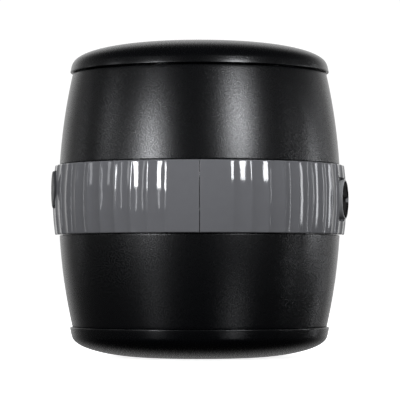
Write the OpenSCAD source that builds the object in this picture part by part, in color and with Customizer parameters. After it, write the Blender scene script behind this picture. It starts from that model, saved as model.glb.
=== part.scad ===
// Rock tumbler barrel, standing on its base cap.
// Origin at the middle of the underside, +Z up. The drain port looks along +X.
// Lengths in millimetres.

/* [Overall] */
// Height from the foot of the base cap to the crown of the top cap
height = 123.8; // [100:0.1:160]
// Greatest radius of the bulged body, at mid height
mid_r = 55.6; // [45:0.1:75]
// Radius of the body where it meets each end cap
seam_r = 50.05; // [40:0.05:70]
// Height of each end cap, foot to seam
cap_h = 12.1; // [8:0.1:20]
// Thickness of the shell wall
wall = 4; // [2:0.1:8]

/* [End caps] */
// Outer radius of the cap's side wall
cap_r = 50.8; // [41:0.1:72]
// Radius of the flat foot and of the flat crown
foot_r = 16; // [5:0.5:30]
// Height of the domed part of a cap
dome_h = 9.2; // [4:0.1:15]
// Roundness of the dome, 2 being an ellipse
dome_n = 1.9; // [1.4:0.05:3]
// Thickness of the cap's skin
skin = 3; // [1.5:0.1:5]
// Bevel on the cap's lip
lip = 0.6; // [0.2:0.1:1.5]
// Gap between the top cap's lip and the body
lid_gap = 0.4; // [0.3:0.05:1]

/* [Shell joint] */
// Height of the joint between the two shells
joint_z = 51; // [45:0.5:60]
// Radius of the joint's flanges
flange_r = 55; // [50:0.1:60]
// Thickness of one flange
flange_t = 1.8; // [1:0.1:3]
// Outer radius of the lower shell's spigot
spigot_r = 52.7; // [48:0.1:60]
// Height of that spigot
spigot_h = 3.6; // [2:0.1:6]
// Radius of the recess the waist ring sits in
recess_r = 53.9; // [48:0.1:60]

/* [Waist ring] */
// Height of the ring
ring_h = 27.2; // [15:0.1:40]
// Radius of the ring at its middle
ring_mid_r = 58; // [50:0.1:75]
// Radius of the ring at its upper and lower edges
ring_edge_r = 57.1; // [50:0.1:75]
// Heading of the split between the two halves, in degrees from the -Y side towards +X
split_az = 12.7; // [0:0.1:90]
// Width of the split
split_gap = 0.3; // [0.1:0.05:1]
// Half angle of the plain zone either side of the split
plain_half = 11.9; // [5:0.1:30]
// Flutes in each half
flutes = 22; // [10:1:40]
// Depth of a flute at the ring's middle
flute_depth = 0.45; // [0.2:0.05:1]
// Radius of a flute
flute_r = 7; // [2:0.5:12]
// Side of the square pocket round the drain port
pocket = 16.8; // [12:0.1:22]
// Radius of the round hole for the vent port
vent_hole_r = 7.5; // [6:0.1:10]
// Distance of the pocket's and the hole's floor from the axis
pocket_x = 55.4; // [54:0.1:58]

/* [Ports] */
// Height of the drain port
drain_z = 61.9; // [58:0.1:70]
// Height of the vent port
vent_z = 65.9; // [58:0.1:72]
// Turn of the vent port from the -X side towards -Y, in degrees
vent_turn = 20.5; // [0:0.5:45]
// Distance of the drain plug's outer face from the axis
face_x = 58.4; // [58:0.1:64]
// Distance of the drain collar's rim from the axis
rim_x = 58.3; // [57:0.1:63]
// Distance of the vent bung's outer face from the axis
vent_x = 58.2; // [58:0.1:64]
// Outer radius of a port bush
bush_r = 5.6; // [4:0.1:8]
// Bore radius of a port bush
bore_r = 4.2; // [2:0.1:6]
// Radius of the drain bush's collar
collar_r = 7.7; // [6:0.05:9]
// Radius of the drain plug's head
plug_r = 7; // [5:0.1:9]
// Radius of the vent bung's head
bung_r = 7.3; // [5:0.1:9]
// Width of the drain plug's coin slot
coin_slot = 1.8; // [1:0.1:3]

/* [Liner] */
// Thickness of the rubber liner
liner_t = 3; // [1.5:0.1:6]
// Thickness of the liner's floor
liner_floor = 4; // [2:0.1:8]
// Lifting vanes
vanes = 7; // [3:1:12]
// Radius of a vane's rounded back
vane_r = 6; // [3:0.5:10]

/* [Lid] */
// Radius of the threaded neck inside the upper shell
neck_r = 44.6; // [35:0.1:60]
// Depth of the neck below the seam
neck_h = 11.7; // [8:0.1:20]
// Running clearance of the top cap in the neck
neck_fit = 0.05; // [0.02:0.01:0.1]
// Radius of the shoulder screw that carries the seal plate
pivot_r = 3; // [2:0.1:5]

/* [Hidden] */
$fn = 96;
mid_z = height / 2;
seam_lo = cap_h;
seam_hi = height - cap_h;
half_h = mid_z - cap_h;
sag = mid_r - seam_r;
bulge = (half_h * half_h + sag * sag) / (2 * sag);
ring_lo = mid_z - ring_h / 2;
ring_hi = mid_z + ring_h / 2;
edge_gap = 0.3;
neck_z = seam_hi - neck_h;
floor_z = seam_lo + 4.5;
split_dir = split_az - 90;
foot_bolt_r = 10.5;
rib_r = 39;
vane_turn = 23;

// radius of the body at height z
function body_r(z) = mid_r - bulge + sqrt(bulge * bulge - (z - mid_z) * (z - mid_z));
function body_line(z0, z1, inset, n) =
    [for (i = [0 : n]) let (z = z0 + (z1 - z0) * i / n) [body_r(z) - inset, z]];
// quarter of a cap's dome, from the side wall to the flat
function dome_line(a, b, n) =
    [for (i = [0 : n]) let (t = 90 * i / n)
        [foot_r + a * pow(cos(t), 2 / dome_n), b * pow(sin(t), 2 / dome_n)]];

// a turned shape on an axis along +X, at height z
module turned_x(z) {
    translate([0, 0, z]) rotate([0, 90, 0]) children();
}

// the same on the vent port's axis
module turned_vent() {
    rotate(vent_turn) turned_x(vent_z) mirror([0, 0, 1]) children();
}

module tube(r0, r1, z0, z1) {
    rotate_extrude() polygon([[r0, z0], [r1, z0], [r1, z1], [r0, z1]]);
}

module port_holes(r) {
    turned_x(drain_z) cylinder(r = r, h = 70);
    turned_vent() cylinder(r = r, h = 70);
}

// solid dome standing on z = 0 with its side wall drop below it
module dome(inset, drop) {
    a = cap_r - foot_r - inset;
    b = dome_h - inset;
    rotate_extrude()
        polygon(concat([[0, -drop], [foot_r + a, -drop]], dome_line(a, b, 16), [[0, b]]));
}

module upper_shell() {
    color([0.05, 0.05, 0.055]) difference() {
        rotate_extrude() polygon(concat(
            [[spigot_r, joint_z], [53.2, joint_z], [53.2, joint_z + 0.6], [54.4, joint_z + 0.6],
                [54.4, joint_z], [flange_r, joint_z], [flange_r, joint_z + flange_t],
                [recess_r, joint_z + flange_t], [recess_r, ring_hi + edge_gap]],
            body_line(ring_hi + edge_gap, seam_hi - 0.4, 0, 14),
            [[seam_r - 0.4, seam_hi], [neck_r + 0.6, seam_hi], [neck_r, seam_hi - 0.6],
                [neck_r, neck_z]],
            body_line(neck_z, joint_z + spigot_h, wall, 16),
            [[spigot_r, joint_z + spigot_h]]));
        port_holes(bush_r);
    }
}

module lower_shell() {
    color([0.05, 0.05, 0.055]) difference() {
        rotate_extrude() polygon(concat(
            [[0, seam_lo], [43.5, seam_lo], [43.5, seam_lo - 2.5], [46.9, seam_lo - 2.5],
                [46.9, seam_lo], [seam_r - 0.4, seam_lo]],
            body_line(seam_lo + 0.4, ring_lo - edge_gap, 0, 14),
            [[recess_r, ring_lo - edge_gap], [recess_r, joint_z - flange_t],
                [flange_r, joint_z - flange_t], [flange_r, joint_z], [54.4, joint_z],
                [54.4, joint_z - 0.6], [53.2, joint_z - 0.6], [53.2, joint_z],
                [spigot_r, joint_z], [spigot_r, joint_z + spigot_h]],
            body_line(joint_z + spigot_h, floor_z, wall, 16),
            [[0, floor_z]]));
        for (k = [0 : 3]) rotate(45 + 90 * k)
            translate([foot_bolt_r, 0, 5]) cylinder(r = 1.9, h = floor_z - 5.5, $fn = 32);
    }
}

module waist_seal() {
    color([0.12, 0.12, 0.12]) tube(53.2, 54.4, joint_z - 0.6, joint_z + 0.6);
}

module liner_envelope() {
    rotate_extrude() polygon(concat([[0, floor_z]], body_line(floor_z, neck_z, wall, 24),
        [[0, neck_z]]));
}

module rubber_liner() {
    lip_z = neck_z - 3;
    color([0.16, 0.16, 0.17]) difference() {
        union() {
            rotate_extrude() polygon(concat([[0, floor_z]], body_line(floor_z, neck_z, wall, 24),
                [[40.5, neck_z], [40.5, lip_z]],
                body_line(lip_z, floor_z + liner_floor, wall + liner_t, 22),
                [[0, floor_z + liner_floor]]));
            intersection() {
                liner_envelope();
                union() {
                    for (k = [0 : vanes - 1]) rotate(360 / vanes * k + vane_turn)
                        translate([49, 0, floor_z + 1])
                            cylinder(r = vane_r, h = 71, $fn = 48);
                    turned_x(drain_z) translate([0, 0, 46.8]) cylinder(r = 9.5, h = 8);
                    turned_vent() translate([0, 0, 46.8]) cylinder(r = 9.5, h = 8);
                }
            }
        }
        port_holes(bush_r);
    }
}

// whole ring, before it is split
module ring_blank() {
    n = 14;
    e = 0.5;
    h = ring_h / 2 - e;
    s = ring_mid_r - ring_edge_r;
    difference() {
        rotate_extrude($fn = 180) polygon(concat(
            [[recess_r, ring_lo], [ring_edge_r - e, ring_lo]],
            [for (i = [0 : n]) let (u = 2 * i / n - 1)
                [ring_mid_r - s * u * u, mid_z + h * u]],
            [[ring_edge_r - e, ring_hi], [recess_r, ring_hi],
                [recess_r, joint_z + flange_t], [flange_r, joint_z + flange_t],
                [flange_r, joint_z - flange_t], [recess_r, joint_z - flange_t]]));
        for (side = [0, 180]) rotate(split_dir + side + plain_half)
            for (i = [0 : flutes - 1]) rotate((180 - 2 * plain_half) * (i + 0.5) / flutes)
                translate([ring_mid_r - flute_depth + flute_r, 0, ring_lo - 1])
                    cylinder(r = flute_r, h = ring_h + 2, $fn = 32);
        translate([pocket_x, -pocket / 2, drain_z - pocket / 2]) cube([10, pocket, pocket]);
        turned_vent() translate([0, 0, pocket_x]) cylinder(r = vent_hole_r, h = 10);
        port_holes(bush_r);
        for (z = [mid_z - 5, mid_z + 8]) pin_rods(z);
    }
}

module pin_rods(z) {
    rotate(split_dir) for (side = [0, 180]) rotate(side)
        translate([55.9, -4, z]) rotate([-90, 0, 0]) cylinder(r = 0.8, h = 8, $fn = 24);
}

module ring_half(turn) {
    intersection() {
        ring_blank();
        rotate(split_dir + turn) translate([-80, split_gap / 2, 0]) cube([160, 90, height]);
    }
}

module ring_half_right() {
    color([0.36, 0.37, 0.38]) ring_half(0);
}

module ring_half_left() {
    color([0.36, 0.37, 0.38]) ring_half(180);
}

module ring_pins() {
    color([0.7, 0.7, 0.72]) for (z = [mid_z - 5, mid_z + 8]) pin_rods(z);
}

module drain_bush() {
    color([0.6, 0.61, 0.62]) turned_x(drain_z) rotate_extrude() polygon([
        [bore_r, 42.5], [bush_r, 42.5], [bush_r, pocket_x], [collar_r, pocket_x],
        [collar_r, rim_x - 0.2], [collar_r - 0.2, rim_x], [plug_r + 0.15, rim_x],
        [plug_r + 0.15, pocket_x + 0.9], [bore_r, pocket_x + 0.9]]);
}

module drain_gasket() {
    color([0.1, 0.1, 0.1]) turned_x(drain_z) tube(bush_r, 9, 45.8, 46.8);
}

module port_nut() {
    difference() {
        intersection() {
            translate([0, 0, 42.5]) cylinder(r = 9.6, h = 3.3, $fn = 6);
            translate([0, 0, 42.5]) cylinder(r1 = 8.9, r2 = 12.2, h = 3.3);
        }
        translate([0, 0, 42]) cylinder(r = bush_r, h = 5);
    }
}

module drain_nut() {
    color([0.6, 0.61, 0.62]) turned_x(drain_z) port_nut();
}

module drain_washer() {
    color([0.1, 0.1, 0.1]) turned_x(drain_z)
        tube(4.45, 6.4, pocket_x + 0.95, pocket_x + 1.75);
}

module drain_plug() {
    back = pocket_x + 1.8;
    color([0.06, 0.06, 0.065]) difference() {
        turned_x(drain_z) rotate_extrude() polygon([[0, 43.5], [3.4, 43.5], [4.15, 44.2],
            [4.15, 46], [3.4, 46.6], [3.4, 52.4], [4.15, 53], [4.15, back], [plug_r - 0.2, back],
            [plug_r, back + 0.2], [plug_r, face_x - 0.4], [plug_r - 0.4, face_x], [0, face_x]]);
        for (k = [0 : 13]) turned_x(drain_z) rotate(360 / 14 * (k + 0.5))
            translate([plug_r + 0.45, 0, back - 0.5]) cylinder(r = 0.95, h = 4, $fn = 24);
        translate([face_x - 1, -10, drain_z - coin_slot / 2]) cube([3, 20, coin_slot]);
    }
}

module vent_bush() {
    color([0.6, 0.61, 0.62]) turned_vent() rotate_extrude() polygon([
        [bore_r, 42.5], [bush_r, 42.5], [bush_r, pocket_x], [6.9, pocket_x],
        [6.9, pocket_x + 1], [bore_r, pocket_x + 1]]);
}

module vent_gasket() {
    color([0.1, 0.1, 0.1]) turned_vent() tube(bush_r, 9, 45.8, 46.8);
}

module vent_nut() {
    color([0.6, 0.61, 0.62]) turned_vent() port_nut();
}

module vent_bung() {
    back = pocket_x + 1.07;
    color([0.24, 0.25, 0.26]) turned_vent() rotate_extrude() polygon([
        [0, 46], [2, 46], [2, 42.6], [3.5, 42.6], [4.15, 43.6], [4.15, 46], [3.8, 46.6],
        [3.8, 50], [4.15, 50.6], [4.15, back], [bung_r - 0.3, back], [bung_r, back + 0.3],
        [bung_r, vent_x - 0.5], [bung_r - 0.2, vent_x - 0.15], [bung_r - 0.6, vent_x],
        [0, vent_x]]);
}

module base_cap() {
    color([0.045, 0.045, 0.05]) difference() {
        union() {
            difference() {
                translate([0, 0, dome_h]) mirror([0, 0, 1]) dome(0, cap_h - dome_h);
                translate([0, 0, dome_h]) mirror([0, 0, 1]) intersection() {
                    dome(skin, 20);
                    translate([0, 0, -20]) cylinder(r = 46.9, h = 40);
                }
                difference() {
                    translate([0, 0, cap_h - lip]) cylinder(r = cap_r + 1, h = 2);
                    translate([0, 0, cap_h - lip]) cylinder(r1 = cap_r, r2 = cap_r - lip, h = lip);
                }
            }
            intersection() {
                translate([0, 0, dome_h]) mirror([0, 0, 1]) dome(1.5, 20);
                union() {
                    for (k = [0 : 3]) rotate(45 + 90 * k) translate([foot_bolt_r, 0, 0])
                        cylinder(r = 6, h = cap_h - 1, $fn = 48);
                    for (k = [0 : 1]) rotate(90 * k) translate([-rib_r, -1, 0])
                        cube([2 * rib_r, 2, 8]);
                }
            }
        }
        for (k = [0 : 3]) rotate(45 + 90 * k) translate([foot_bolt_r, 0, -1]) {
            cylinder(r = 4.2, h = 7, $fn = 48);
            cylinder(r = 1.9, h = 20, $fn = 32);
        }
    }
}

module base_gasket() {
    color([0.12, 0.12, 0.12]) difference() {
        translate([0, 0, cap_h - 1]) cylinder(r = 43, h = 1);
        for (k = [0 : 3]) rotate(45 + 90 * k)
            translate([foot_bolt_r, 0, 0]) cylinder(r = 1.9, h = 20, $fn = 32);
    }
}

module base_washers() {
    color([0.7, 0.7, 0.72]) for (k = [0 : 3]) rotate(45 + 90 * k)
        translate([foot_bolt_r, 0, 0]) tube(1.9, 3.9, 5.4, 6);
}

module base_screws() {
    color([0.72, 0.72, 0.74]) for (k = [0 : 3]) rotate(45 + 90 * k)
        translate([foot_bolt_r, 0, 0]) difference() {
            rotate_extrude($fn = 48) polygon([[0, 3], [2.9, 3], [3.4, 3.5], [3.4, 5.4],
                [1.9, 5.4], [1.9, floor_z - 0.5], [0, floor_z - 0.5]]);
            translate([0, 0, 2]) cylinder(r = 1.6, h = 2.4, $fn = 6);
        }
}

module seal_plate() {
    z = neck_z + 1.75;
    color([0.62, 0.63, 0.64]) rotate_extrude() polygon([[pivot_r + 0.05, z], [36.5, z],
        [36.5, z - 1.5], [39.5, z - 1.5], [39.5, z], [43.9, z], [43.9, z + 1.2],
        [40.6, z + 1.2], [40.6, z + 4.2], [38, z + 4.2], [37, z + 3.2], [14, z + 3.2],
        [13, z + 4.2], [pivot_r + 0.05, z + 4.2]]);
}

module lid_gasket() {
    color([0.13, 0.13, 0.13]) tube(39.5, 43.8, neck_z + 0.05, neck_z + 1.75);
}

module top_cap() {
    rim = height - dome_h - (cap_h - dome_h) + lid_gap;
    hub = neck_z + 6.85;
    z0 = neck_z + 3.05;
    color([0.045, 0.045, 0.05]) difference() {
        union() {
            difference() {
                translate([0, 0, height - dome_h]) dome(0, height - dome_h - rim);
                translate([0, 0, height - dome_h]) dome(skin, 20);
                difference() {
                    translate([0, 0, rim - 1]) cylinder(r = cap_r + 1, h = 1 + lip);
                    translate([0, 0, rim]) cylinder(r1 = cap_r - lip, r2 = cap_r, h = lip);
                }
            }
            rotate_extrude() polygon([[41, z0], [42.6, z0], [43.2, z0 + 0.6],
                [43.2, z0 + 5.4], [neck_r - neck_fit, z0 + 6.2], [neck_r - neck_fit, 118.4],
                [41, 118.4]]);
            translate([0, 0, hub]) cylinder(r = 9, h = height - 1.5 - hub);
            intersection() {
                translate([0, 0, height - dome_h]) dome(1.5, 20);
                for (k = [0 : 5]) rotate(60 * k) translate([0, -1, hub + 4])
                    cube([42, 2, 12]);
            }
        }
        translate([0, 0, hub - 1]) cylinder(r = 2.5, h = 8.5, $fn = 48);
    }
}

module cap_washer() {
    color([0.8, 0.8, 0.78]) tube(pivot_r, 9, neck_z + 6, neck_z + 6.85);
}

module cap_screw() {
    z = neck_z + 1.65;
    color([0.72, 0.72, 0.74]) difference() {
        rotate_extrude() polygon([[0, z - 3.2], [5.6, z - 3.2], [6, z - 2.8], [6, z],
            [pivot_r, z], [pivot_r, neck_z + 6.85], [2.5, neck_z + 6.85],
            [2.5, neck_z + 14], [0, neck_z + 14]]);
        translate([0, 0, z - 4]) cylinder(r = 2.3, h = 2.8, $fn = 6);
    }
}

upper_shell();
lower_shell();
waist_seal();
rubber_liner();
ring_half_right();
ring_half_left();
ring_pins();
drain_bush();
drain_gasket();
drain_nut();
drain_washer();
drain_plug();
vent_bush();
vent_gasket();
vent_nut();
vent_bung();
base_cap();
base_gasket();
base_washers();
base_screws();
seal_plate();
lid_gasket();
top_cap();
cap_washer();
cap_screw();
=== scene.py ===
import math

import bmesh
import bpy
from mathutils import Matrix, Vector


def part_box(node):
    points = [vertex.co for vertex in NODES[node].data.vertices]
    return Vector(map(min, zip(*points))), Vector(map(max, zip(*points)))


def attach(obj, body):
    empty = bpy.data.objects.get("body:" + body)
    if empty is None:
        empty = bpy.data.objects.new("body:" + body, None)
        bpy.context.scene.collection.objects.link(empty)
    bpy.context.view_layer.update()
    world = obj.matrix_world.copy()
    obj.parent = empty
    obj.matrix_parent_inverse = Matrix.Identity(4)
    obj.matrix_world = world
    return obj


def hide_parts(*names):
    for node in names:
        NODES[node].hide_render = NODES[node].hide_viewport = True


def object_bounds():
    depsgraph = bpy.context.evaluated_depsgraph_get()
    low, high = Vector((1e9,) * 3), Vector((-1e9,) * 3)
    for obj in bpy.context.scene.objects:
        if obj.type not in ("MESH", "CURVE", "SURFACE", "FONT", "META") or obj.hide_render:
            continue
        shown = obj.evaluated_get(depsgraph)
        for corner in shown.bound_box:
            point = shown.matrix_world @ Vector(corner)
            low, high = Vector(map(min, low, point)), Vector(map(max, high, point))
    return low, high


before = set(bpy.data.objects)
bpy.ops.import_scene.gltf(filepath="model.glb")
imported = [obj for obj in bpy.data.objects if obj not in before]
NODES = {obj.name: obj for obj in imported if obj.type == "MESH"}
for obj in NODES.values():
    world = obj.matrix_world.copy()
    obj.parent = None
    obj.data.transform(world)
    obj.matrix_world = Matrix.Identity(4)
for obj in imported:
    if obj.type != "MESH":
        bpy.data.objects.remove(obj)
cad_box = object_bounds()

# ---------------------------------------------------------------- sizes in metres
mm = 0.001

# barrel wall
TOP = cad_box[1].z
MID = TOP / 2
SEAM_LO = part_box("base_cap")[1].z
SEAM_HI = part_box("upper_shell")[1].z
BODY_MID_R, BODY_END_R = 55.6 * mm, 50.05 * mm
WALL = 4 * mm
FLOOR_Z = SEAM_LO + 4.5 * mm
NECK_R, NECK_Z = 44.6 * mm, SEAM_HI - 11.7 * mm
half = MID - SEAM_LO
sag = BODY_MID_R - BODY_END_R
BULGE = (half * half + sag * sag) / (2 * sag)

# waist ring, and the flange joint of the two shells behind it
ring_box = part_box("ring_half_right")
RING_LO, RING_HI = ring_box[0].z, ring_box[1].z
RING_MID_R, RING_EDGE_R = 58 * mm, 57.1 * mm
RING_GAP = 0.3 * mm
JOINT = 51 * mm
RECESS_R = 53.9 * mm
FLANGE_R, FLANGE_T = 55 * mm, 1.8 * mm
SPIGOT_R, SPIGOT_H = 52.7 * mm, 3.6 * mm
SEAL_IN, SEAL_OUT, SEAL_D = 53.2 * mm, 54.4 * mm, 0.6 * mm

# end caps; LEAN is the tangent of 12 degrees
CAP_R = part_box("top_cap")[1].x
CAP_IN_R = 46.9 * mm
RIM = SEAM_HI + 0.4 * mm
FOOT_R = 16 * mm
DOME_H, DOME_N = 9.2 * mm, 2.02
TOP_FLAT = 0.955
SKIN = 3 * mm
LIP_OUT = 0.3 * mm
LEAN, LEAN_H = 0.2126, 3.3 * mm
LEAN_END, LEAN_FADE = 7.5 * mm, 3.5 * mm
PIVOT_R = 3.05 * mm
LID_LEAD, LID_STARTS = 10 * mm, 4
SCREW_AT, SCREW_R = 10.5 * mm, 1.95 * mm
HEAD_R, HEAD_DEPTH = 4.2 * mm, 6 * mm

# ports; their outlines give the distance from the barrel's axis as local Z
CAM_AZ = 12.7
SPLIT = math.radians(CAM_AZ - 90)
VENT_TURN = math.radians(20.5)
DRAIN_Z = sum(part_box("drain_bush")[i].z for i in (0, 1)) / 2
VENT_Z = sum(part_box("vent_bush")[i].z for i in (0, 1)) / 2
PORT_IN, PORT_OUT = 42.5 * mm, 62 * mm
BORE_R, SHANK_R = 4.2 * mm, 4.15 * mm
BUSH_R, HOLE_R = 5.6 * mm, 5.65 * mm
POCKET_X, POCKET = 55.4 * mm, 8.4 * mm
COLLAR_R, COLLAR_IN, COLLAR_X = 7.7 * mm, 7.15 * mm, 58.3 * mm
PLUG_R, PLUG_X, PLUG_LOBES = 7 * mm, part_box("drain_plug")[1].x, 14
VENT_HOLE_R, BUNG_R, VENT_X = 7.5 * mm, 7.3 * mm, 58.2 * mm


def body_r(z):
    """Outer radius of the bulged wall at height z."""
    return BODY_MID_R - BULGE + math.sqrt(BULGE * BULGE - (z - MID) ** 2)


def body_line(z0, z1, inset, n):
    """Outline of the bulged wall from height z0 to z1, moved inwards by inset."""
    heights = [z0 + (z1 - z0) * i / n for i in range(n + 1)]
    return [(body_r(z) - inset, z) for z in heights]


def dome_line(a, b, n):
    """Quarter of a superellipse, a wide and b high, outside the flat foot."""
    out = []
    for i in range(n + 1):
        t = math.pi / 2 * i / n
        c, s = max(math.cos(t), 0.0), math.sin(t)
        out.append((FOOT_R + a * c ** (2 / DOME_N), b * s ** (2 / DOME_N)))
    return out


# ---------------------------------------------------------------- mesh tools
def rounded(pts):
    """Closed outline of (r, z) or (r, z, radius): corners with a radius become arcs."""
    out, n = [], len(pts)
    for i, p in enumerate(pts):
        rad = p[2] if len(p) > 2 else 0
        c = Vector(p[:2])
        if rad <= 0:
            out.append((c.x, c.y))
            continue
        a = Vector(pts[i - 1][:2]) - c
        b = Vector(pts[(i + 1) % n][:2]) - c
        la, lb = a.length, b.length
        a.normalize()
        b.normalize()
        ang = a.angle(b)
        cut = min(rad / math.tan(ang / 2), la * 0.49, lb * 0.49)
        rad = cut * math.tan(ang / 2)
        mid = c + (a + b).normalized() * (rad / math.sin(ang / 2))
        p0, p1 = c + a * cut - mid, c + b * cut - mid
        t0 = math.atan2(p0.y, p0.x)
        d = (math.atan2(p1.y, p1.x) - t0 + math.pi) % (2 * math.pi) - math.pi
        steps = max(3, int(abs(d) / math.radians(16)))
        for k in range(steps + 1):
            t = t0 + d * k / steps
            out.append((mid.x + rad * math.cos(t), mid.y + rad * math.sin(t)))
    return out


def smooth(me, sharp):
    """Smooth shading, with edges sharper than the given degrees kept sharp."""
    me.shade_smooth()
    me.set_sharp_from_angle(angle=math.radians(sharp))


def to_object(name, bm, sharp=34):
    """A new object in the scene from bm, which is used up."""
    bmesh.ops.remove_doubles(bm, verts=bm.verts, dist=1e-6)
    bmesh.ops.recalc_face_normals(bm, faces=bm.faces)
    me = bpy.data.meshes.new(name)
    bm.to_mesh(me)
    bm.free()
    o = bpy.data.objects.new(name, me)
    bpy.context.scene.collection.objects.link(o)
    smooth(me, sharp)
    return o


def lathe_into(bm, pts, n, place=None, wave=None):
    """Turns a closed outline of (r, z) about the local Z axis. wave(r, z, angle) may change r."""
    rings = []
    for r, z in pts:
        if r < 1e-7:
            v = bm.verts.new((0, 0, z))
            rings.append([v] * n)
            continue
        ring = []
        for k in range(n):
            t = 2 * math.pi * k / n
            q = wave(r, z, t) if wave else r
            ring.append(bm.verts.new((q * math.cos(t), q * math.sin(t), z)))
        rings.append(ring)
    made = {v for ring in rings for v in ring}
    for i in range(len(pts)):
        j = (i + 1) % len(pts)
        if pts[i][0] < 1e-7 and pts[j][0] < 1e-7:
            continue
        for k in range(n):
            m = (k + 1) % n
            f = []
            for v in (rings[i][k], rings[i][m], rings[j][m], rings[j][k]):
                if v not in f:
                    f.append(v)
            bm.faces.new(f)
    if place:
        for v in made:
            v.co = place @ v.co


def lathe(name, pts, n, place=None, wave=None, sharp=34):
    """An object turned from an outline that may have rounded corners."""
    bm = bmesh.new()
    lathe_into(bm, rounded(pts), n, place, wave)
    return to_object(name, bm, sharp)


def port(side):
    """Local Z becomes the outward direction of the drain (1) or the vent (-1)."""
    if side > 0:
        return Matrix(((0, 0, 1, 0), (1, 0, 0, 0), (0, 1, 0, DRAIN_Z), (0, 0, 0, 1)))
    return Matrix.Rotation(VENT_TURN, 4, "Z") @ Matrix(
        ((0, 0, -1, 0), (-1, 0, 0, 0), (0, 1, 0, VENT_Z), (0, 0, 0, 1)))


def ridges_into(bm, r_root, r_crest, w_root, w_crest, z0, z1, lead, starts, place=None):
    """Screw thread ridges, right handed, running out over 14 degrees at both ends."""
    step, run_out = 6, 14
    turn = (z1 - z0 - w_root) / lead * 2 * math.pi
    n = max(8, int(math.degrees(turn) / step))
    for s in range(starts):
        prev = None
        for k in range(n + 1):
            u = k / n
            t = turn * u
            fade = min(1.0, u * n * step / run_out, (1 - u) * n * step / run_out)
            crest = r_root + (r_crest - r_root) * fade
            a = t + 2 * math.pi * s / starts
            z = z0 + w_root / 2 + lead * t / (2 * math.pi)
            sec = []
            for r, dz in ((r_root, -w_root / 2), (crest, -w_crest / 2),
                          (crest, w_crest / 2), (r_root, w_root / 2)):
                v = bm.verts.new((r * math.cos(a), r * math.sin(a), z + dz))
                if place:
                    v.co = place @ v.co
                sec.append(v)
            if prev:
                for i in range(4):
                    j = (i + 1) % 4
                    bm.faces.new((prev[i], prev[j], sec[j], sec[i]))
            else:
                bm.faces.new(sec)
            prev = sec
        bm.faces.new(list(reversed(prev)))


def cut(o, cutter, sharp=34):
    """Takes the cutter's shape out of o, leaving no modifier behind."""
    mod = o.modifiers.new("cut", "BOOLEAN")
    mod.object = cutter
    mod.operation = "DIFFERENCE"
    mod.solver = "EXACT"
    dg = bpy.context.evaluated_depsgraph_get()
    me = bpy.data.meshes.new_from_object(o.evaluated_get(dg))
    o.modifiers.clear()
    o.data = me
    bpy.data.objects.remove(cutter)
    smooth(me, sharp)


def drill(o, pts, n, place, sharp=34):
    """Takes a turned shape out of o."""
    bm = bmesh.new()
    lathe_into(bm, pts, n, place)
    cut(o, to_object("cutter", bm), sharp)


def add_to(o, build, sharp=34):
    """Adds what build(bm) makes to the mesh of o."""
    bm = bmesh.new()
    bm.from_mesh(o.data)
    build(bm)
    bm.to_mesh(o.data)
    bm.free()
    smooth(o.data, sharp)


def box_into(bm, lo, hi, turn=0.0):
    """A block between two corners, turned about the barrel's axis."""
    r = Matrix.Rotation(turn, 4, "Z")
    vs = [bm.verts.new(r @ Vector((x, y, z))) for x in (lo[0], hi[0]) for y in (lo[1], hi[1])
          for z in (lo[2], hi[2])]
    for f in ((0, 1, 3, 2), (4, 6, 7, 5), (0, 4, 5, 1), (2, 3, 7, 6), (0, 2, 6, 4), (1, 5, 7, 3)):
        bm.faces.new([vs[i] for i in f])


# ---------------------------------------------------------------- materials
def nodes_of(name):
    """A new material, its node tree and its shader node."""
    m = bpy.data.materials.new(name)
    m.use_nodes = True
    nt = m.node_tree
    return m, nt, nt.nodes["Principled BSDF"]


def noise(nt, coord, scale, detail=3.0, rough=0.55):
    n = nt.nodes.new("ShaderNodeTexNoise")
    n.inputs["Scale"].default_value = scale
    n.inputs["Detail"].default_value = detail
    n.inputs["Roughness"].default_value = rough
    nt.links.new(coord, n.inputs["Vector"])
    return n.outputs["Fac"]


def ramp(nt, fac, stops):
    """Colour ramp through stops of (position, grey or colour)."""
    r = nt.nodes.new("ShaderNodeValToRGB")
    while len(r.color_ramp.elements) < len(stops):
        r.color_ramp.elements.new(0.5)
    for e, (p, c) in zip(r.color_ramp.elements, stops):
        e.position = p
        e.color = (c, c, c, 1) if isinstance(c, (int, float)) else (*c, 1)
    nt.links.new(fac, r.inputs["Fac"])
    return r.outputs["Color"]


def bump(nt, height, strength, distance):
    b = nt.nodes.new("ShaderNodeBump")
    b.inputs["Strength"].default_value = strength
    b.inputs["Distance"].default_value = distance
    nt.links.new(height, b.inputs["Height"])
    return b.outputs["Normal"]


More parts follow.
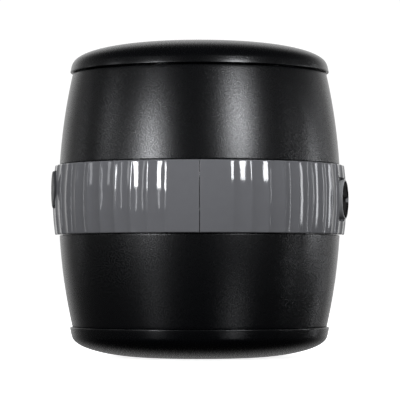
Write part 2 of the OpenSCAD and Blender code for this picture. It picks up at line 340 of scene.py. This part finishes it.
def moulded(name, base, rough, grain, depth, worn, spread=0.12, mottle=60, ior=1.49):
    """Moulded plastic or rubber: grained, faintly mottled, paler along worn edges."""
    m, nt, bs = nodes_of(name)
    tc = nt.nodes.new("ShaderNodeTexCoord").outputs["Object"]
    fine = noise(nt, tc, grain, 3.0, 0.6)
    broad = noise(nt, tc, mottle, 4.0, 0.5)
    lo = tuple(c * (1 - spread) for c in base)
    hi = tuple(c * (1 + spread) for c in base)
    col = ramp(nt, broad, [(0.3, lo), (0.7, hi)])
    geo = nt.nodes.new("ShaderNodeNewGeometry")
    edge = ramp(nt, geo.outputs["Pointiness"], [(0.58, 0.0), (0.72, 1.0)])
    mix = nt.nodes.new("ShaderNodeMix")
    mix.data_type = "RGBA"
    scuff = nt.nodes.new("ShaderNodeMath")
    scuff.operation = "MULTIPLY"
    scuff.use_clamp = True
    nt.links.new(edge, scuff.inputs[0])
    nt.links.new(ramp(nt, broad, [(0.4, 0.15), (0.65, 0.8)]), scuff.inputs[1])
    nt.links.new(scuff.outputs[0], mix.inputs["Factor"])
    nt.links.new(col, mix.inputs["A"])
    mix.inputs["B"].default_value = (*worn, 1)
    nt.links.new(mix.outputs["Result"], bs.inputs["Base Color"])
    rr = ramp(nt, noise(nt, tc, mottle * 3, 3.0), [(0.3, rough * 0.88), (0.7, rough * 1.12)])
    nt.links.new(rr, bs.inputs["Roughness"])
    bs.inputs["IOR"].default_value = ior
    nt.links.new(bump(nt, fine, 1.0, depth), bs.inputs["Normal"])
    return m


def metal(name, base, rough, axis, lines):
    """Turned or brushed metal, with fine lines across the given axis."""
    m, nt, bs = nodes_of(name)
    tc = nt.nodes.new("ShaderNodeTexCoord").outputs["Object"]
    mp = nt.nodes.new("ShaderNodeMapping")
    mp.inputs["Scale"].default_value = axis
    nt.links.new(tc, mp.inputs["Vector"])
    f = noise(nt, mp.outputs["Vector"], lines, 2.0)
    nt.links.new(ramp(nt, f, [(0.3, tuple(c * 0.85 for c in base)), (0.7, base)]),
                 bs.inputs["Base Color"])
    nt.links.new(ramp(nt, f, [(0.3, rough * 0.8), (0.7, rough * 1.2)]), bs.inputs["Roughness"])
    bs.inputs["Metallic"].default_value = 1.0
    nt.links.new(bump(nt, f, 0.5, 0.00001), bs.inputs["Normal"])
    return m


# moulded: colour, roughness, grain's scale and depth, worn colour, spread and scale of mottling
# metal: colour, roughness, stretch of the brushed lines, their scale
M = {
    "shell": moulded("shell_black", (0.0014, 0.0016, 0.0021), 0.28, 2300, 0.000045,
                     (0.006, 0.006, 0.0065), 0.12, 900),
    "cap": moulded("cap_black", (0.0014, 0.0016, 0.0021), 0.26, 2200, 0.00002,
                   (0.006, 0.006, 0.0065), 0.12, 900),
    "ring": moulded("ring_grey", (0.163, 0.164, 0.172), 0.085, 500, 0.000004,
                    (0.20, 0.20, 0.21), 0.02, 300),
    "plug": moulded("plug_black", (0.002, 0.002, 0.0022), 0.7, 2600, 0.00003,
                    (0.006, 0.006, 0.006), ior=1.12),
    "collar": moulded("collar_grey", (0.36, 0.365, 0.37), 0.3, 2600, 0.00001,
                      (0.5, 0.5, 0.5), 0.04),
    "bung": moulded("bung_grey", (0.062, 0.063, 0.067), 0.5, 1200, 0.00002,
                    (0.1, 0.1, 0.1), 0.06, ior=1.3),
    "liner": moulded("liner_rubber", (0.02, 0.02, 0.021), 0.62, 1600, 0.00008,
                     (0.05, 0.05, 0.05)),
    "seal": moulded("seal_rubber", (0.012, 0.012, 0.012), 0.55, 1800, 0.00004,
                    (0.03, 0.03, 0.03)),
    "nylon": moulded("washer_nylon", (0.62, 0.62, 0.59), 0.4, 1800, 0.00003,
                     (0.7, 0.7, 0.68), 0.04),
    "plate": metal("plate_aluminium", (0.62, 0.63, 0.64), 0.3, (1, 1, 30), 260),
    "steel": metal("steel_zinc", (0.58, 0.58, 0.59), 0.28, (1, 1, 12), 900),
}


def finish_piece(o, mat, body, slot, *nodes):
    """Material and body of a drawn piece, and the CAD nodes it stands for."""
    o.data.materials.clear()
    o.data.materials.append(M[mat])
    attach(o, body)
    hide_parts(*nodes)


# pieces that are shown as the CAD has them
for node, mat in {
    "waist_seal": "seal", "rubber_liner": "liner", "ring_pins": "steel", "drain_gasket": "seal",
    "drain_nut": "collar", "vent_gasket": "seal", "vent_nut": "collar", "base_gasket": "seal",
    "base_washers": "steel", "base_screws": "steel", "lid_gasket": "seal", "cap_washer": "nylon",
    "cap_screw": "steel",
}.items():
    me = NODES[node].data
    me.materials.clear()
    me.materials.append(M[mat])


# ---------------------------------------------------------------- shells
def make_upper_shell():
    groove, flange, spigot = JOINT + SEAL_D, JOINT + FLANGE_T, JOINT + SPIGOT_H
    edge = RING_HI + RING_GAP
    pts = [(SPIGOT_R, JOINT), (SEAL_IN, JOINT), (SEAL_IN, groove), (SEAL_OUT, groove),
           (SEAL_OUT, JOINT), (FLANGE_R, JOINT), (FLANGE_R, flange), (RECESS_R, flange),
           (RECESS_R, edge), (body_r(edge), edge, 0.35 * mm)]
    pts += body_line(RING_HI + 0.9 * mm, SEAM_HI - 1.2 * mm, 0, 44)
    pts += [(BODY_END_R - 0.02 * mm, SEAM_HI, 0.5 * mm), (NECK_R, SEAM_HI, 0.5 * mm),
            (NECK_R, NECK_Z, 0.3 * mm)]
    pts += body_line(NECK_Z, spigot, WALL, 20)
    pts += [(SPIGOT_R, spigot)]
    o = lathe("upper_barrel_wall", pts, 256, sharp=40)
    hole = [(0, 40 * mm), (HOLE_R, 40 * mm), (HOLE_R, PORT_OUT), (0, PORT_OUT)]
    for side in (1, -1):
        drill(o, hole, 64, port(side), 40)

    def thread(bm):
        ridges_into(bm, NECK_R + 0.1 * mm, 44.1 * mm, 1.3 * mm, 0.7 * mm, NECK_Z + 0.6 * mm,
                    NECK_Z + 8.9 * mm, LID_LEAD, LID_STARTS)

    add_to(o, thread, 40)
    finish_piece(o, "shell", "barrel", "shell_black", "upper_shell")


def make_lower_shell():
    groove, flange, spigot = JOINT - SEAL_D, JOINT - FLANGE_T, JOINT + SPIGOT_H
    edge = RING_LO - RING_GAP
    tongue_r, tongue_z = 43.5 * mm, SEAM_LO - 2.5 * mm
    pts = [(0, SEAM_LO), (tongue_r, SEAM_LO), (tongue_r, tongue_z), (CAP_IN_R, tongue_z),
           (CAP_IN_R, SEAM_LO), (BODY_END_R - 0.02 * mm, SEAM_LO, 0.5 * mm)]
    pts += body_line(SEAM_LO + 1.2 * mm, RING_LO - 0.9 * mm, 0, 44)
    pts += [(body_r(edge), edge, 0.35 * mm), (RECESS_R, edge), (RECESS_R, flange),
            (FLANGE_R, flange), (FLANGE_R, JOINT), (SEAL_OUT, JOINT), (SEAL_OUT, groove),
            (SEAL_IN, groove), (SEAL_IN, JOINT), (SPIGOT_R, JOINT), (SPIGOT_R, spigot)]
    pts += body_line(spigot, FLOOR_Z, WALL, 20)
    pts += [(0, FLOOR_Z)]
    o = lathe("lower_barrel_wall", pts, 256, sharp=40)
    finish_piece(o, "shell", "barrel", "shell_black", "lower_shell")


# ---------------------------------------------------------------- waist ring
# Angles are in degrees from the split line that faces the camera. The square pocket is at +X.
PLAIN, FLUTES, FLUTE_STEPS = 12.75, 22, 12
PITCH = (180 - 2 * PLAIN) / FLUTES
FLUTE_D = 0.52 * mm
RING_ROUND = 0.55 * mm
RING_STEPS = 36
RING_IN_R = RECESS_R + 0.05 * mm
CHAMFER_R = RING_EDGE_R - 1.6 * mm
SPLIT_ROUND = 0.15 * mm
SPLIT_AT = math.degrees(0.11 * mm / RING_MID_R)
POCKET_ROUND = 0.3 * mm
POCKET_AT = -math.degrees(SPLIT)
POCKET_HALF = math.degrees(math.asin(POCKET / (RING_MID_R - 0.1 * mm)))
EASE = (0.04, 0.25, 0.6, 1.0)
HAIR = 1e-9


def fall(d, radius):
    """How far a rounded edge has dropped at the distance d from its end."""
    return radius - math.sqrt(max(0.0, radius ** 2 - (radius - d) ** 2))


def ring_columns(side):
    """Angles of the mesh columns, each with 1 inside the pocket and 0 elsewhere."""
    cols = {}
    for u in (0, 0.04, 0.15, 0.35, 0.65, 1.0):
        e = math.degrees(u * SPLIT_ROUND / RING_MID_R)
        cols[SPLIT_AT + e] = 0
        cols[180 - SPLIT_AT - e] = 0
    for i in range(1, 12):
        cols[PLAIN * i / 12] = 0
        cols[180 - PLAIN * i / 12] = 0
    for i in range(FLUTES * FLUTE_STEPS + 1):
        s = PLAIN + PITCH * i / FLUTE_STEPS
        away = abs(s - POCKET_AT)
        if side < 0 or abs(away - POCKET_HALF) > 0.35:
            cols[s] = 1 if side > 0 and away < POCKET_HALF else 0
    lo, hi = POCKET_AT - POCKET_HALF, POCKET_AT + POCKET_HALF
    if side > 0:
        for u in EASE:
            d = math.degrees(u * POCKET_ROUND / RING_MID_R)
            cols[lo - d] = 0
            cols[hi + d] = 0
    cols = [(s, f) for s, f in cols.items() if s >= SPLIT_AT]
    if side > 0:
        cols += [(lo, 0), (lo + HAIR, 1), (hi - HAIR, 1), (hi, 0)]
    return sorted(cols)


def ring_rows():
    """Heights on the ring's outer face, each with 1 inside the pocket and 0 elsewhere."""
    hi, lo = RING_HI - RING_ROUND, RING_LO + RING_ROUND
    rows = []
    for i in range(RING_STEPS + 1):
        z = lo + (hi - lo) * i / RING_STEPS
        away = abs(z - DRAIN_Z)
        if abs(away - POCKET) > 0.45 * mm:
            rows.append((z, 1 if away < POCKET else 0))
    for sg in (-1, 1):
        e = DRAIN_Z + sg * POCKET
        rows += [(e, 0), (e - sg * HAIR, 1)]
        eased = [e + sg * u * POCKET_ROUND for u in EASE]
        rows += [(z, 0) for z in eased if lo < z < hi]
    return sorted(rows)


def ring_profile():
    """Outline of the ring as (r, z, 1 inside the pocket, share of the flutes' depth)."""
    hi, lo = RING_HI - RING_ROUND, RING_LO + RING_ROUND
    prof = []
    for z, inside in ring_rows():
        u = (z - MID) / (RING_HI - MID - RING_ROUND)
        prof.append((RING_MID_R - (RING_MID_R - RING_EDGE_R) * u * u, z, inside, 1.0))
    arc = []
    for k in range(1, 7):
        t = math.pi / 2 * k / 6
        arc.append((RING_EDGE_R - RING_ROUND + RING_ROUND * math.cos(t),
                    RING_ROUND * math.sin(t)))
    prof += [(r, hi + h, 0, 1.0) for r, h in arc]
    prof += [(CHAMFER_R, RING_HI, 0, 0.4), (RING_IN_R, RING_HI, 0, 0.0),
             (RING_IN_R, MID, 0, 0.0), (RING_IN_R, RING_LO, 0, 0.0),
             (CHAMFER_R, RING_LO, 0, 0.4)]
    prof += [(r, lo - h, 0, 1.0) for r, h in reversed(arc)]
    return prof


def ring_point(s, in_cols, row, side):
    """Position on the ring at the angle s and the profile's point row."""
    r, z, in_rows, w = row
    th = SPLIT + math.radians(s) * side
    ph = (s - PLAIN) / PITCH
    dip = FLUTE_D * (1 - (2 * (ph % 1) - 1) ** 2) if 0 <= ph <= FLUTES else 0.0
    cell = math.floor(ph) * 2.4 + side
    near = min(s - SPLIT_AT, 180 - SPLIT_AT - s) * math.pi / 180 * RING_MID_R
    off = fall(near, SPLIT_ROUND) if near < SPLIT_ROUND else 0
    u = (z - MID) / (RING_HI - MID)
    wavy = 1 - 0.2 * u * u + 0.05 * math.cos(3 * math.pi * u) + 0.05 * math.sin(4 * u + cell)
    q = r - dip * w * wavy - off * w
    if side > 0 and w == 1.0 and abs(s - POCKET_AT) < POCKET_HALF + 3:
        if in_cols and in_rows:
            return (POCKET_X, q * math.sin(th), z)
        d = max(abs(s - POCKET_AT) / POCKET_HALF * POCKET - POCKET, abs(z - DRAIN_Z) - POCKET)
        if d < POCKET_ROUND:
            q -= fall(max(d, 0.0), POCKET_ROUND)
    return (q * math.cos(th), q * math.sin(th), z)


def ring_half(name, side, node):
    """One half of the ring. side 1 is the half with the drain, -1 the half with the vent."""
    prof = ring_profile()
    n = len(prof)
    bm = bmesh.new()
    grid = []
    for s, in_cols in ring_columns(side):
        grid.append([bm.verts.new(ring_point(s, in_cols, row, side)) for row in prof])
    for a, b in zip(grid, grid[1:]):
        for j in range(n):
            k = (j + 1) % n
            bm.faces.new([a[j], b[j], b[k], a[k]])
    bm.faces.new(grid[0])
    bm.faces.new(list(reversed(grid[-1])))
    o = to_object(name, bm, 40)
    wide = HOLE_R if side > 0 else VENT_HOLE_R
    hole = [(0, 50 * mm), (HOLE_R, 50 * mm), (HOLE_R, POCKET_X), (wide, POCKET_X),
            (wide, PORT_OUT), (0, PORT_OUT)]
    drill(o, hole, 96, port(side), 40)
    finish_piece(o, "ring", "barrel", "ring_grey", node)


# ---------------------------------------------------------------- end caps
def cap_outline():
    """Outer then inner dome points as (r, height above the dome's root)."""
    outer = dome_line(CAP_R - FOOT_R, DOME_H, 40)
    inner = dome_line(CAP_R - FOOT_R - SKIN, DOME_H - SKIN, 24)
    return outer, inner


def draft(r, h):
    """Radius of a cap's wall and dome at height h from its lip. The wall leans in 12 degrees."""
    lean = LIP_OUT - LEAN * min(h, LEAN_H)
    return r + lean * min(1.0, max(0.0, (LEAN_END - h) / LEAN_FADE))


def make_top_cap():
    root = TOP - DOME_H
    outer, inner = cap_outline()
    pts = [(CAP_R - SKIN, RIM, 0.3 * mm), (draft(CAP_R, 0), RIM, 0.35 * mm),
           (draft(CAP_R, 1.4 * mm), RIM + 1.4 * mm)]
    pts += [(draft(r, root + TOP_FLAT * z - RIM), root + TOP_FLAT * z) for r, z in outer]
    pts += [(0, root + TOP_FLAT * DOME_H), (0, TOP - SKIN)]
    pts += [(r, root + z) for r, z in reversed(inner)]
    bm = bmesh.new()
    lathe_into(bm, rounded(pts), 256)

    z0 = NECK_Z + 3.05 * mm
    skirt_r = NECK_R - 0.05 * mm
    skirt = [(41 * mm, z0, 0.3 * mm), (43.2 * mm, z0, 0.6 * mm), (43.2 * mm, z0 + 5.4 * mm),
             (skirt_r, z0 + 6.2 * mm, 0.2 * mm), (skirt_r, root + 4 * mm),
             (41 * mm, root + 4.5 * mm)]
    lathe_into(bm, rounded(skirt), 192)

    hub_r, hub_lo, hub_hi = 9 * mm, NECK_Z + 6.85 * mm, TOP - 2 * mm
    hub = [(PIVOT_R, hub_lo), (hub_r, hub_lo, 0.4 * mm), (hub_r, hub_hi), (PIVOT_R, hub_hi)]
    lathe_into(bm, rounded(hub), 64)
    for k in range(6):
        box_into(bm, (8 * mm, -1 * mm, hub_lo + 4 * mm), (39 * mm, 1 * mm, root + 5 * mm),
                 math.radians(60 * k))
    ridges_into(bm, 43.1 * mm, 44.45 * mm, 1.0 * mm, 0.5 * mm, z0 + 0.5 * mm, z0 + 5.3 * mm,
                LID_LEAD, LID_STARTS)
    o = to_object("top_cap_shell", bm)
    finish_piece(o, "cap", "top_cap", "cap_black", "top_cap")


def make_base_cap():
    root = DOME_H
    outer, inner = cap_outline()
    pts = [(CAP_IN_R, SEAM_LO), (draft(CAP_R, 0), SEAM_LO, 0.35 * mm),
           (draft(CAP_R, 1.4 * mm), SEAM_LO - 1.4 * mm)]
    pts += [(draft(r, SEAM_LO - root + z), root - z) for r, z in outer]
    pts += [(0, 0), (0, SKIN)]
    pts += [(r, root - z) for r, z in reversed(inner) if r < CAP_IN_R - 0.1 * mm]
    o = lathe("base_cap_shell", pts, 256)

    at = Matrix.Translation((SCREW_AT, 0, 0))
    places = [Matrix.Rotation(math.radians(45 + 90 * k), 4, "Z") @ at for k in range(4)]
    head = [(0, -1 * mm), (HEAD_R, -1 * mm), (HEAD_R, HEAD_DEPTH), (0, HEAD_DEPTH)]
    for place in places:
        drill(o, head, 48, place)

    boss_r, boss_lo, boss_hi = 6 * mm, 2.6 * mm, SEAM_LO - 1 * mm
    boss = [(SCREW_R, HEAD_DEPTH), (HEAD_R, HEAD_DEPTH), (HEAD_R, boss_lo), (boss_r, boss_lo),
            (boss_r, boss_hi), (SCREW_R, boss_hi)]

    def bosses(bm):
        for place in places:
            lathe_into(bm, boss, 48, place)

    add_to(o, bosses)
    finish_piece(o, "cap", "barrel", "cap_black", "base_cap")


# ---------------------------------------------------------------- seal plate under the lid
def make_plate():
    z = NECK_Z + 1.75 * mm
    low, rim, web, top = z - 1.5 * mm, z + 1.2 * mm, z + 3.2 * mm, z + 4.2 * mm
    pts = [(PIVOT_R, z), (36.5 * mm, z, 0.2 * mm), (36.5 * mm, low, 0.2 * mm),
           (39.5 * mm, low, 0.2 * mm), (39.5 * mm, z), (43.9 * mm, z, 0.15 * mm),
           (43.9 * mm, rim, 0.3 * mm), (40.6 * mm, rim, 0.3 * mm), (40.6 * mm, top, 0.4 * mm),
           (38 * mm, top, 0.3 * mm), (37 * mm, web, 0.4 * mm), (14 * mm, web, 0.4 * mm),
           (13 * mm, top, 0.3 * mm), (PIVOT_R, top)]
    o = lathe("seal_plate_turned", pts, 160)
    finish_piece(o, "plate", "seal_plate", "plate_aluminium", "seal_plate")


# ---------------------------------------------------------------- drain
def make_drain_bush():
    floor_x = POCKET_X + 0.9 * mm
    pts = [(BORE_R, PORT_IN, 0.2 * mm), (BUSH_R, PORT_IN, 0.3 * mm), (BUSH_R, POCKET_X),
           (COLLAR_R, POCKET_X), (COLLAR_R, COLLAR_X, 0.3 * mm), (COLLAR_IN, COLLAR_X, 0.15 * mm),
           (COLLAR_IN, floor_x), (BORE_R, floor_x, 0.2 * mm)]
    o = lathe("drain_bush_collar", pts, 96, port(1))
    finish_piece(o, "collar", "barrel", "collar_grey", "drain_bush")


def make_drain_washer():
    r0, r1 = 4.45 * mm, 6.4 * mm
    x0, x1 = POCKET_X + 0.95 * mm, POCKET_X + 1.75 * mm
    pts = [(r, x, 0.3 * mm) for r, x in ((r0, x0), (r1, x0), (r1, x1), (r0, x1))]
    o = lathe("drain_sealing_ring", pts, 72, port(1))
    finish_piece(o, "seal", "drain_washer", "seal_rubber", "drain_washer")


def make_drain_plug():
    back = POCKET_X + 1.8 * mm
    dish_x = PLUG_X - 0.18 * mm
    lobe_r, lobe_w, lobe_d = 6.0 * mm, 0.9 * mm, 0.55 * mm

    def lobes(r, x, t):
        if x < back - 1e-6 or r < lobe_r:
            return r
        w = 0.5 - 0.5 * math.cos(PLUG_LOBES * t)
        return r - lobe_d * w ** 2 * min(1.0, (r - lobe_r) / lobe_w)

    def thread(bm):
        ridges_into(bm, 3.35 * mm, 4.1 * mm, 1.0 * mm, 0.35 * mm, 46.5 * mm, 52.5 * mm, 6 * mm, 3,
                    port(1))

    pts = [(0, 43.5 * mm), (3.4 * mm, 43.5 * mm, 0.3 * mm), (SHANK_R, 44.4 * mm, 0.3 * mm),
           (SHANK_R, 46 * mm, 0.2 * mm), (3.4 * mm, 46.6 * mm), (3.4 * mm, 52.4 * mm),
           (SHANK_R, 53 * mm, 0.2 * mm), (SHANK_R, back), (5.9 * mm, back),
           (6.6 * mm, back), (PLUG_R, back, 0.2 * mm), (PLUG_R, PLUG_X, 0.38 * mm),
           (6.3 * mm, PLUG_X), (5.9 * mm, PLUG_X), (5.2 * mm, PLUG_X, 0.2 * mm),
           (4.9 * mm, dish_x, 0.2 * mm), (0, dish_x)]
    o = lathe("drain_plug_knurled", pts, PLUG_LOBES * 14, port(1), lobes)
    slot_w, slot_d = 0.9 * mm, 1.15 * mm
    bm = bmesh.new()
    box_into(bm, (PLUG_X - slot_d, -9 * mm, DRAIN_Z - slot_w),
             (PLUG_X + 2 * mm, 9 * mm, DRAIN_Z + slot_w))
    cut(o, to_object("cutter", bm))
    add_to(o, thread)
    finish_piece(o, "plug", "drain_plug", "plug_black", "drain_plug")


# ---------------------------------------------------------------- vent
def make_vent_bush():
    flange_r, face_x = 6.9 * mm, POCKET_X + 1 * mm
    pts = [(BORE_R, PORT_IN, 0.2 * mm), (BUSH_R, PORT_IN, 0.3 * mm), (BUSH_R, POCKET_X),
           (flange_r, POCKET_X), (flange_r, face_x, 0.3 * mm), (BORE_R, face_x, 0.3 * mm)]
    o = lathe("vent_bush_collar", pts, 96, port(-1))
    finish_piece(o, "collar", "barrel", "collar_grey", "vent_bush")


def make_vent_bung():
    back = POCKET_X + 1.07 * mm
    pts = [(0, 46 * mm), (2 * mm, 46 * mm), (2 * mm, 42.6 * mm, 0.2 * mm),
           (3.5 * mm, 42.6 * mm, 0.4 * mm), (SHANK_R, 43.6 * mm, 0.4 * mm),
           (SHANK_R, 46 * mm, 0.3 * mm), (3.8 * mm, 46.6 * mm), (3.8 * mm, 50 * mm),
           (SHANK_R, 50.6 * mm, 0.3 * mm), (SHANK_R, back, 0.1 * mm),
           (BUNG_R, back, 0.3 * mm), (BUNG_R, VENT_X - 0.05 * mm, 0.6 * mm),
           (5.4 * mm, VENT_X, 3 * mm), (0, VENT_X)]
    o = lathe("vent_bung_moulded", pts, 96, port(-1))
    finish_piece(o, "bung", "vent_bung", "bung_grey", "vent_bung")


make_upper_shell()
make_lower_shell()
ring_half("ring_half_right_fluted", 1, "ring_half_right")
ring_half("ring_half_left_fluted", -1, "ring_half_left")
make_top_cap()
make_base_cap()
make_plate()
make_drain_bush()
make_drain_washer()
make_drain_plug()
make_vent_bush()
make_vent_bung()

# ---------------------------------------------------------------- camera
CAM_DIST, CAM_DROP = 0.955, 0.0292
CAM_LENS, CAM_SENSOR = 217.8, 36
centre = Vector((0, 0, MID))


def direction(az, el):
    """Unit vector from the object towards azimuth az (from the camera's side) and elevation el."""
    a, e = math.radians(CAM_AZ + az), math.radians(el)
    return Vector((math.sin(a) * math.cos(e), -math.cos(a) * math.cos(e), math.sin(e)))


def put(o, place):
    """Links o to the scene at place, looking at the barrel's middle."""
    bpy.context.scene.collection.objects.link(o)
    o.location = place
    o.rotation_mode = "QUATERNION"
    o.rotation_quaternion = (centre - o.location).to_track_quat("-Z", "Y")


def make_camera():
    cam = bpy.data.objects.new("camera", bpy.data.cameras.new("camera"))
    put(cam, centre + direction(0, 0) * CAM_DIST - Vector((0, 0, CAM_DROP)))
    bpy.context.scene.camera = cam
    cam.data.sensor_width = CAM_SENSOR
    cam.data.lens = CAM_LENS
    cam.data.shift_x = 0.001
    cam.data.shift_y = 0.00125
    cam.data.clip_start = 0.05
    cam.data.clip_end = 50


# ---------------------------------------------------------------- lamps
def area(name, az, el, w, h, radiance, dist=1.2, tint=(0.97, 0.985, 1.02)):
    """Lamp of w by h metres towards azimuth az and elevation el, unseen by the camera."""
    d = bpy.data.lights.new(name, "AREA")
    d.shape = "RECTANGLE"
    d.size, d.size_y = w, h
    d.energy = radiance * w * h * math.pi
    d.color = tint
    o = bpy.data.objects.new(name, d)
    put(o, centre + direction(az, el) * dist)
    o.visible_camera = False
    return o


def make_lamps():
    """Each with azimuth and elevation in degrees, width and height in metres, radiance."""
    area("key_left", -39.6, 10, 0.2, 0.24, 38)
    area("key_left_tall", -39.6, 3, 0.06, 0.28, 7)
    area("key_right", 32.4, 17, 0.26, 0.32, 26)
    area("tail_left", -39, -20, 0.18, 0.34, 1.1)
    area("tail_right", 31, -24, 0.2, 0.2, 2.4)
    area("side_left", -80, 13, 0.16, 0.3, 3.6)
    area("side_right", 105, 3, 0.16, 0.34, 7)
    area("strip_left", -58, 6, 0.06, 0.38, 5.5)
    area("strip_right", 81, 2, 0.022, 0.66, 9)
    area("far_left", -114, 5, 0.03, 0.5, 3.5)
    area("far_right", 124, 0, 0.04, 0.7, 4)
    area("overhead", 20, 88, 1.4, 1.4, 2.0, 1.5).visible_glossy = False


# ---------------------------------------------------------------- world and floor
def from_signed(nt, value):
    """Maps -1 to 1 onto 0 to 1."""
    n = nt.nodes.new("ShaderNodeMath")
    n.operation = "MULTIPLY_ADD"
    n.inputs[1].default_value = 0.5
    n.inputs[2].default_value = 0.5
    nt.links.new(value, n.inputs[0])
    return n.outputs[0]


def make_world():
    """Plain white to the camera. In reflections it is brightest behind the object."""
    world = bpy.data.worlds.new("studio")
    bpy.context.scene.world = world
    world.use_nodes = True
    nt = world.node_tree
    nt.nodes.clear()
    out = nt.nodes.new("ShaderNodeOutputWorld")
    ray = nt.nodes.new("ShaderNodeTexCoord").outputs["Generated"]

    away = nt.nodes.new("ShaderNodeVectorMath")
    away.operation = "DOT_PRODUCT"
    away.inputs[1].default_value = -direction(0, 0)
    nt.links.new(ray, away.inputs[0])
    around = ramp(nt, from_signed(nt, away.outputs["Value"]),
                  [(0.1, 0.06), (0.42, 0.12), (0.75, 0.15), (0.85, 0.3), (0.95, 1.0)])

    height = nt.nodes.new("ShaderNodeSeparateXYZ")
    nt.links.new(ray, height.inputs[0])
    band = ramp(nt, from_signed(nt, height.outputs["Z"]),
                [(0.2, 0.05), (0.42, 0.4), (0.5, 1.0), (0.62, 1.0), (0.85, 0.25)])

    dim = nt.nodes.new("ShaderNodeMix")
    dim.data_type = "RGBA"
    dim.blend_type = "MULTIPLY"
    dim.inputs["Factor"].default_value = 1.0
    nt.links.new(around, dim.inputs["A"])
    nt.links.new(band, dim.inputs["B"])
    lit = nt.nodes.new("ShaderNodeBackground")
    nt.links.new(dim.outputs["Result"], lit.inputs["Color"])

    seen = nt.nodes.new("ShaderNodeBackground")
    seen.inputs["Color"].default_value = (1, 1, 1, 1)
    seen.inputs["Strength"].default_value = 1.05
    path = nt.nodes.new("ShaderNodeLightPath")
    mixer = nt.nodes.new("ShaderNodeMixShader")
    nt.links.new(path.outputs["Is Camera Ray"], mixer.inputs["Fac"])
    nt.links.new(lit.outputs[0], mixer.inputs[1])
    nt.links.new(seen.outputs[0], mixer.inputs[2])
    nt.links.new(mixer.outputs[0], out.inputs["Surface"])


def make_floor():
    """Pale floor that glows white, with a painted shadow: its glow is a little darker under the
    barrel. It isn't mirrored in it.
    """
    bm = bmesh.new()
    bmesh.ops.create_grid(bm, x_segments=1, y_segments=1, size=8)
    floor = to_object("floor", bm)
    m, nt, bs = nodes_of("floor_pale")
    bs.inputs["Base Color"].default_value = (0.9, 0.9, 0.9, 1)
    bs.inputs["Roughness"].default_value = 0.9
    bs.inputs["Emission Strength"].default_value = 1.0
    tc = nt.nodes.new("ShaderNodeTexCoord").outputs["Object"]
    far = nt.nodes.new("ShaderNodeVectorMath")
    far.operation = "LENGTH"
    nt.links.new(tc, far.inputs[0])
    # painted shadow: the floor's glow drops to 0.9 near the barrel's axis and reaches full white
    # 0.25 m out
    nt.links.new(ramp(nt, far.outputs["Value"], [(0.05, 0.9), (0.25, 1.02)]),
                 bs.inputs["Emission Color"])
    floor.data.materials.append(m)
    floor.visible_glossy = False
    floor.visible_diffuse = False


make_camera()
make_lamps()
make_world()
make_floor()
bpy.context.scene.view_settings.view_transform = "Standard"
